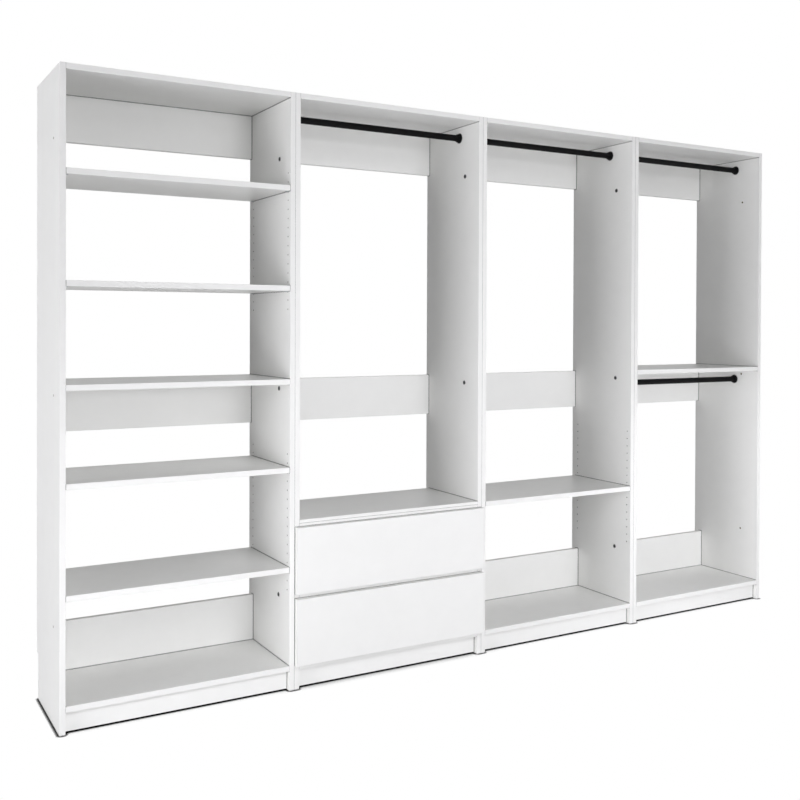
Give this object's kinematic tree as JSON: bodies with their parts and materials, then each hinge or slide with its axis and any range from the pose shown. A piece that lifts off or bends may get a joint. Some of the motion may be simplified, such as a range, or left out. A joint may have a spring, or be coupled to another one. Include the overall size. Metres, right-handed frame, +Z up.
{
  "type": "freestanding closet system",
  "caption": "Freestanding open closet in white board: bolted towers with shelves, sliding drawers and hanging rods.",
  "frame": {"origin": "on the floor, at the middle of the row's width and of its depth over the closed drawer fronts", "axes": "+X to the right along the row as seen from the room, +Y towards the wall, +Z up"},
  "size_m": [3.2, 0.4054, 2.108],
  "materials": {
    "white_board": "white melamine-faced board, satin, with matching edge banding",
    "drawer_board": "white melamine-faced board, satin",
    "drawer_bottom_board": "white-faced hardboard, satin",
    "black_rod": "black powder coat, satin",
    "black_cup": "black moulded plastic, matt",
    "plated_steel": "zinc-plated steel",
    "runner_steel": "rolled zinc-plated steel",
    "cast_zinc": "die-cast zinc, dull",
    "dark_steel": "burnished steel"
  },
  "bodies": {
    "carcass": {"shelf_tower_left_side": "white_board", "shelf_tower_right_side": "white_board", "shelf_tower_top": "white_board", "shelf_tower_bottom": "white_board", "shelf_tower_toe_kick": "white_board", "shelf_tower_back_rails": "white_board", "drawer_tower_left_side": "white_board", "drawer_tower_right_side": "white_board", "drawer_tower_top": "white_board", "drawer_tower_bottom": "white_board", "drawer_tower_toe_kick": "white_board", "drawer_tower_back_rails": "white_board", "long_hang_tower_left_side": "white_board", "long_hang_tower_right_side": "white_board", "long_hang_tower_top": "white_board", "long_hang_tower_bottom": "white_board", "long_hang_tower_toe_kick": "white_board", "long_hang_tower_back_rails": "white_board", "double_hang_tower_left_side": "white_board", "double_hang_tower_right_side": "white_board", "double_hang_tower_top": "white_board", "double_hang_tower_bottom": "white_board", "double_hang_tower_toe_kick": "white_board", "double_hang_tower_back_rails": "white_board", "shelf_tower_fixed_shelf": "white_board", "shelf_tower_shelf_1": "white_board", "shelf_tower_shelf_2": "white_board", "shelf_tower_shelf_3": "white_board", "shelf_tower_shelf_4": "white_board", "drawer_tower_deck": "white_board", "drawer_tower_cross_rails": "white_board", "long_hang_tower_shelf": "white_board", "double_hang_tower_fixed_shelf": "white_board", "drawer_tower_rod": "black_rod", "long_hang_tower_rod": "black_rod", "double_hang_tower_upper_rod": "black_rod", "double_hang_tower_lower_rod": "black_rod", "rod_cups": "black_cup", "shelf_pins": "plated_steel", "connector_bolts": "dark_steel", "cam_locks": "cast_zinc", "cam_bolts": "plated_steel", "runner_cabinet_members": "runner_steel", "fitting_screws": "plated_steel"},
    "upper_drawer": {"upper_drawer_front": "white_board", "upper_drawer_sides": "drawer_board", "upper_drawer_inner_front": "drawer_board", "upper_drawer_back": "drawer_board", "upper_drawer_bottom": "drawer_bottom_board", "upper_drawer_screws": "plated_steel", "upper_drawer_members": "runner_steel"},
    "upper_runner": {"upper_runner_middle_members": "runner_steel"},
    "lower_drawer": {"lower_drawer_front": "white_board", "lower_drawer_sides": "drawer_board", "lower_drawer_inner_front": "drawer_board", "lower_drawer_back": "drawer_board", "lower_drawer_bottom": "drawer_bottom_board", "lower_drawer_screws": "plated_steel", "lower_drawer_members": "runner_steel"},
    "lower_runner": {"lower_runner_middle_members": "runner_steel"}
  },
  "joints": [
    {"name": "upper_drawer_slide", "type": "slide", "parent": "carcass", "child": "upper_drawer", "axis": [0, -1, 0], "range_m": [0, 0.3]},
    {"name": "upper_runner_slide", "type": "slide", "parent": "carcass", "child": "upper_runner", "axis": [0, -1, 0], "range_m": [0, 0.15]},
    {"name": "lower_drawer_slide", "type": "slide", "parent": "carcass", "child": "lower_drawer", "axis": [0, -1, 0], "range_m": [0, 0.3]},
    {"name": "lower_runner_slide", "type": "slide", "parent": "carcass", "child": "lower_runner", "axis": [0, -1, 0], "range_m": [0, 0.15]}
  ],
  "couplings": [
    {"joint": "upper_runner_slide", "follows": "upper_drawer_slide", "ratio": 0.5},
    {"joint": "lower_runner_slide", "follows": "lower_drawer_slide", "ratio": 0.5}
  ]
}
